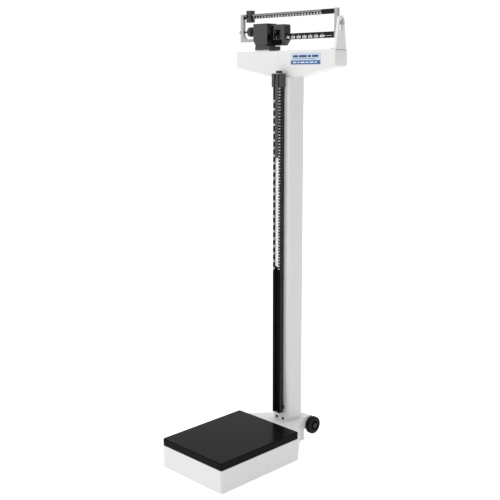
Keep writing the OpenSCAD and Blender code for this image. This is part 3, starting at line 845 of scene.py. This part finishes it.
def inner_rod_graduations():
    """Black ticks along both edges of the inner rod, seen when it is drawn out."""
    low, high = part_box("inner_rod")
    long = (high.z - low.z) / MM
    start = 20
    shape = bmesh.new()

    def tick(x, along, wide, tall):
        """A mark along mm above the rod's foot."""
        mark(shape, Vector((x, low.y, low.z + along * MM)), wide, tall, thick=INK / 2)

    for k in range(int(long / CENTIMETRE) - 3):
        tick(high.x - 1.7 * MM, start + k * CENTIMETRE, 2.6 if k % 5 else 3.2, 0.5)
    for k in range(int(long / INCH) - 1):
        tick(low.x + 1.8 * MM, start + k * INCH, 3.2, 0.6)
        for quarter in range(1, 4):
            tick(low.x + 1.4 * MM, start + (k + quarter / 4) * INCH, 1.8, 0.4)
    piece("inner_rod_print", shape, "rod_slider", "scale_face", INK_BLACK)


def rod_brackets():
    """The brackets behind the rod. The upper ones are narrowed so that they don't show beside it."""
    shape = round_edges(cad_shape("rod_brackets"), 0.8)
    for vert in shape.verts:
        if vert.co.z > HIGH_BRACKETS * MM:
            vert.co.x *= BRACKET_NARROWING
    piece("rod_brackets_finished", shape, body_of("rod_brackets"), "rod_black", ROD, "rod_brackets")


def rod_pieces():
    """The height rod from its channel to the arm, and its print."""
    rounded_node("rod_channel", 0.5, "rod_black", ROD)
    rounded_node("rod_scale_plates", 0.4, "rod_black", ROD_FACE)
    rounded_node("rod_sleeve", 1.0, "rod_black", ARM)
    rod_brackets()
    rounded_node("rod_head", 0.6, "rod_black", ROD)
    rounded_node("headpiece_arm", 0.5, "rod_black", ARM)
    rounded_node("inner_rod", 0.4, "scale_face", FACE_WHITE)
    rod_graduations()
    inner_rod_graduations()


# ---------------------------------------------------------------- CAD nodes that stay as they are

def dress(material, *names):
    """Gives CAD nodes that stay shown their finished material."""
    for name in names:
        for slot in NODES[name].material_slots:
            slot.material = material


def plain_nodes():
    """The hidden linkage and the small hardware, shown by the CAD's own shapes."""
    dress(WHITE, "column_cap")
    dress(IRON, "base_pan", "lever_bearings", "platform_posts", "long_lever", "short_lever", "transfer_lever",
          "transfer_bearing")
    dress(ZINC, "platform_plate", "column_foot", "steelyard_hooks", "beam_link")
    dress(STEEL, "long_lever_knives", "short_lever_knives", "steelyard_rod", "transfer_knives",
          "headpiece_pin", "foot_screws")
    dress(SCREW, "axle", "axle_clips", "fulcrum_stand", "beam_knives")
    dress(FOOT, "foot_pads")
    dress(SILVER, "balance_nut")


# ---------------------------------------------------------------- floor and light

def stage():
    """A white floor, a sky that fades from left to right, and two soft lights."""
    shape = bmesh.new()
    half = 30
    corners = ((-1, -1), (1, -1), (1, 1), (-1, 1))
    shape.faces.new([shape.verts.new((x * half, y * half, 0)) for x, y in corners])
    mesh = bpy.data.meshes.new("floor")
    shape.to_mesh(mesh)
    shape.free()
    material = finish("floor", (0.72, 0.72, 0.72), vary=0.0, roughness=0.5, mottling=3, grain=40, depth=0.0)
    shader = material.node_tree.nodes["Principled BSDF"]
    shader.inputs["Emission Color"].default_value = (1, 1, 1, 1)
    shader.inputs["Emission Strength"].default_value = 0.56
    mesh.materials.append(material)
    floor = bpy.data.objects.new("floor", mesh)
    bpy.context.scene.collection.objects.link(floor)

    world = bpy.data.worlds.new("studio")
    bpy.context.scene.world = world
    world.use_nodes = True
    tree = world.node_tree
    place = tree.nodes.new("ShaderNodeTexCoord")
    split = tree.nodes.new("ShaderNodeSeparateXYZ")
    tree.links.new(place.outputs["Generated"], split.inputs["Vector"])
    fade = tree.nodes.new("ShaderNodeMapRange")
    for name, value in (("From Min", -0.45), ("From Max", 1.0), ("To Min", 1.02), ("To Max", 0.36)):
        fade.inputs[name].default_value = value
    tree.links.new(split.outputs["X"], fade.inputs["Value"])
    tree.links.new(fade.outputs["Result"], tree.nodes["Background"].inputs["Strength"])
    tree.nodes["Background"].inputs["Color"].default_value = (1, 1, 1, 1)

    softbox("key", (-1.6, -3.2, 2.6), (0, 0, 0.7), 2.0, 16)
    softbox("top", (0.3, -0.2, 3.6), (0, 0, 0), 2.4, 22)


def softbox(name, at, towards, size, power):
    """A square area light, size in metres and power in watts."""
    light = bpy.data.lights.new(name, "AREA")
    light.shape = "SQUARE"
    light.size = size
    light.energy = power
    obj = bpy.data.objects.new(name, light)
    obj.location = at
    obj.rotation_euler = (Vector(towards) - Vector(at)).to_track_quat("-Z", "Y").to_euler()
    bpy.context.scene.collection.objects.link(obj)


add_camera()
base_pieces()
platform_mat()
wheel("left")
wheel("right")
head_pieces()
upper_beam()
lower_beam()
large_poise()
small_poise()
balance_knob()
balance_screw()
beam_frame()
rod_pieces()
all_screws()
plain_nodes()
stage()
bpy.context.scene.view_settings.view_transform = "Standard"
